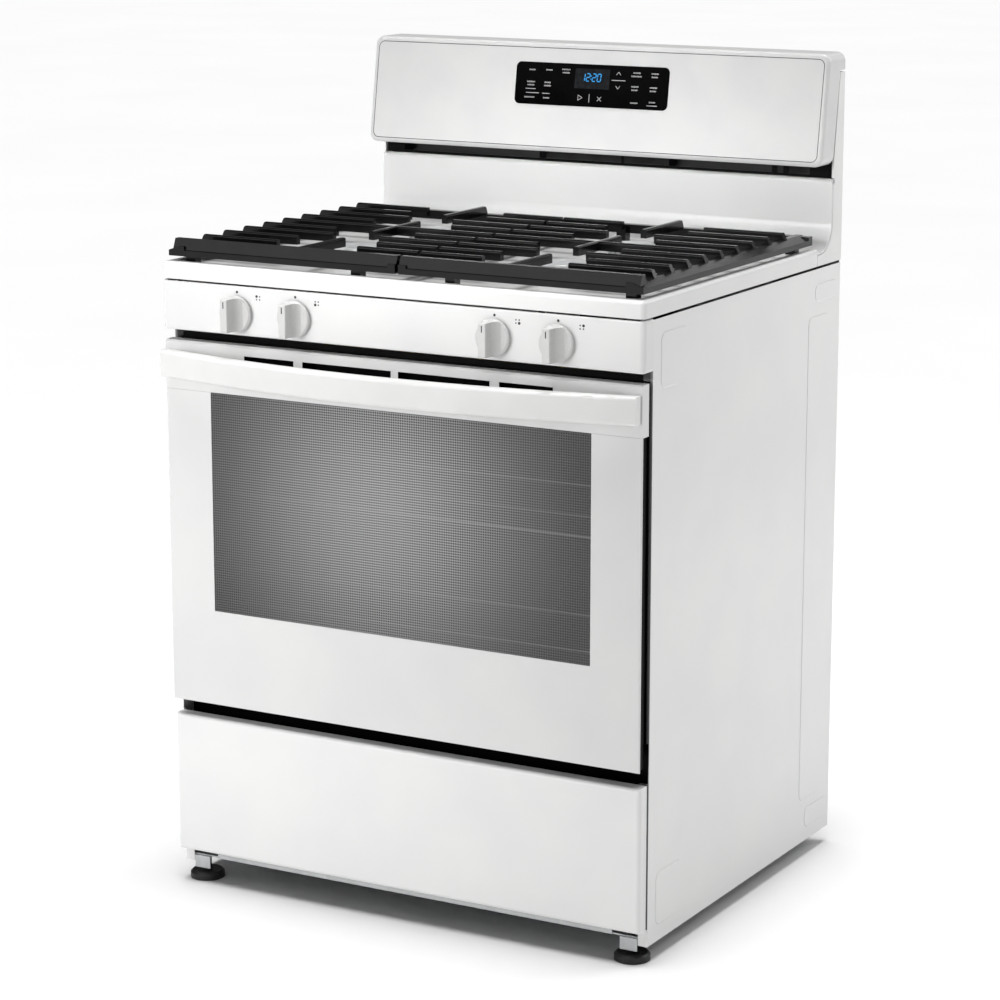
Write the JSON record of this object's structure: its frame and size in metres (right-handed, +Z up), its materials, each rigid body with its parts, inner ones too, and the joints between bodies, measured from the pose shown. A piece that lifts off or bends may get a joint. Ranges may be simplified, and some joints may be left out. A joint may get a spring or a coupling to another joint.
{
  "type": "freestanding gas range",
  "caption": "White freestanding gas range with cast-iron grates, push-to-turn knobs, a drop-down windowed oven door, a lower drawer and a leaning control backguard.",
  "frame": {"origin": "on the floor, below the middle of the range's box", "axes": "+X to the right seen from the front, +Y to the back, +Z up"},
  "size_m": [0.759, 0.7, 1.191],
  "materials": {
    "white_enamel": "gloss",
    "white_plastic": "gloss",
    "black_enamel": "satin",
    "oven_porcelain": "gloss, speckled",
    "cast_iron": "satin enamel",
    "grey_enamel": "satin",
    "burner_alloy": "satin",
    "galvanised_steel": "satin",
    "chrome_wire": "polished",
    "brass": "satin",
    "dark_glass": "gloss",
    "clear_glass": "gloss",
    "black_plastic": "matte",
    "control_black": "gloss",
    "circuit_board": "satin",
    "glass_wool": "matte",
    "woven_gasket": "matte",
    "ceramic": "matte"
  },
  "bodies": {
    "cabinet": {"side_panel_left": "white_enamel", "side_panel_right": "white_enamel", "cooktop": "white_enamel", "knob_fascia": "white_enamel", "backguard_end_caps": "white_plastic", "console": "white_plastic", "front_frame": "black_enamel", "vent_grille": "black_enamel", "oven_liner": "oven_porcelain", "oven_floor": "oven_porcelain", "burner_bases": "burner_alloy", "valve_bodies": "burner_alloy", "burner_tubes": "burner_alloy", "pressure_regulator": "burner_alloy", "rear_panel": "galvanised_steel", "backguard_rear_cover": "galvanised_steel", "base_frame": "galvanised_steel", "leg_brackets": "galvanised_steel", "drawer_rails": "galvanised_steel", "flue_duct": "galvanised_steel", "hinge_arms": "galvanised_steel", "panel_screws": "galvanised_steel", "bake_burner": "galvanised_steel", "temperature_sensor": "galvanised_steel", "gas_manifold": "galvanised_steel", "oven_lamp": "clear_glass", "leveling_legs": "black_plastic", "control_overlay": "control_black", "control_board": "circuit_board", "oven_insulation": "glass_wool", "spark_electrodes": "ceramic", "oven_igniter": "ceramic"},
    "door": {"door_outer_panel": "white_enamel", "door_top_trim": "white_plastic", "door_glass_outer": "dark_glass", "door_frame": "black_enamel", "door_liner": "oven_porcelain", "door_glass_inner": "clear_glass", "door_gasket": "woven_gasket", "door_handle": "white_plastic", "door_hinge_bodies": "galvanised_steel", "hinge_pins": "galvanised_steel"},
    "drawer": {"drawer_front": "white_enamel", "drawer_pan": "galvanised_steel"},
    "left_grate": {"grate_left": "cast_iron"},
    "right_grate": {"grate_right": "cast_iron"},
    "upper_rack": {"oven_rack_upper": "chrome_wire"},
    "lower_rack": {"oven_rack_lower": "chrome_wire"},
    "cap_1": {"burner_cap_1": "grey_enamel"},
    "stem_1": {"valve_stem_1": "brass"},
    "knob_1_body": {"knob_1": "white_plastic"},
    "cap_2": {"burner_cap_2": "grey_enamel"},
    "stem_2": {"valve_stem_2": "brass"},
    "knob_2_body": {"knob_2": "white_plastic"},
    "cap_3": {"burner_cap_3": "grey_enamel"},
    "stem_3": {"valve_stem_3": "brass"},
    "knob_3_body": {"knob_3": "white_plastic"},
    "cap_4": {"burner_cap_4": "grey_enamel"},
    "stem_4": {"valve_stem_4": "brass"},
    "knob_4_body": {"knob_4": "white_plastic"}
  },
  "joints": [
    {"name": "door_hinge", "type": "hinge", "parent": "cabinet", "child": "door", "pos_m": [0, -0.258, 0.292], "axis": [1, 0, 0], "range_deg": [0, 90], "stiffness_Nm_per_rad": 12, "springref_deg": -22.92},
    {"name": "drawer_slide", "type": "slide", "parent": "cabinet", "child": "drawer", "axis": [0, -1, 0], "range_m": [0, 0.38]},
    {"name": "left_grate_lift", "type": "slide", "parent": "cabinet", "child": "left_grate", "axis": [0, 0, 1], "range_m": [0, 0.15]},
    {"name": "right_grate_lift", "type": "slide", "parent": "cabinet", "child": "right_grate", "axis": [0, 0, 1], "range_m": [0, 0.15]},
    {"name": "upper_rack_slide", "type": "slide", "parent": "cabinet", "child": "upper_rack", "axis": [0, -1, 0], "range_m": [0, 0.025]},
    {"name": "lower_rack_slide", "type": "slide", "parent": "cabinet", "child": "lower_rack", "axis": [0, -1, 0], "range_m": [0, 0.025]},
    {"name": "cap_1_lift", "type": "slide", "parent": "cabinet", "child": "cap_1", "axis": [0, 0, 1], "range_m": [0, 0.06]},
    {"name": "cap_2_lift", "type": "slide", "parent": "cabinet", "child": "cap_2", "axis": [0, 0, 1], "range_m": [0, 0.06]},
    {"name": "cap_3_lift", "type": "slide", "parent": "cabinet", "child": "cap_3", "axis": [0, 0, 1], "range_m": [0, 0.06]},
    {"name": "cap_4_lift", "type": "slide", "parent": "cabinet", "child": "cap_4", "axis": [0, 0, 1], "range_m": [0, 0.06]},
    {"name": "knob_1_turn", "type": "hinge", "parent": "cabinet", "child": "stem_1", "pos_m": [-0.253, -0.288, 0.8495], "axis": [0, -1, 0], "range_deg": [0, 230]},
    {"name": "knob_1_push", "type": "slide", "parent": "stem_1", "child": "knob_1_body", "axis": [0, 1, 0], "range_m": [0, 0.003], "stiffness_N_per_m": 600, "springref_m": -0.004},
    {"name": "knob_2_turn", "type": "hinge", "parent": "cabinet", "child": "stem_2", "pos_m": [-0.157, -0.288, 0.8495], "axis": [0, -1, 0], "range_deg": [0, 230]},
    {"name": "knob_2_push", "type": "slide", "parent": "stem_2", "child": "knob_2_body", "axis": [0, 1, 0], "range_m": [0, 0.003], "stiffness_N_per_m": 600, "springref_m": -0.004},
    {"name": "knob_3_turn", "type": "hinge", "parent": "cabinet", "child": "stem_3", "pos_m": [0.157, -0.288, 0.8495], "axis": [0, -1, 0], "range_deg": [0, 230]},
    {"name": "knob_3_push", "type": "slide", "parent": "stem_3", "child": "knob_3_body", "axis": [0, 1, 0], "range_m": [0, 0.003], "stiffness_N_per_m": 600, "springref_m": -0.004},
    {"name": "knob_4_turn", "type": "hinge", "parent": "cabinet", "child": "stem_4", "pos_m": [0.253, -0.288, 0.8495], "axis": [0, -1, 0], "range_deg": [0, 230]},
    {"name": "knob_4_push", "type": "slide", "parent": "stem_4", "child": "knob_4_body", "axis": [0, 1, 0], "range_m": [0, 0.003], "stiffness_N_per_m": 600, "springref_m": -0.004}
  ]
}
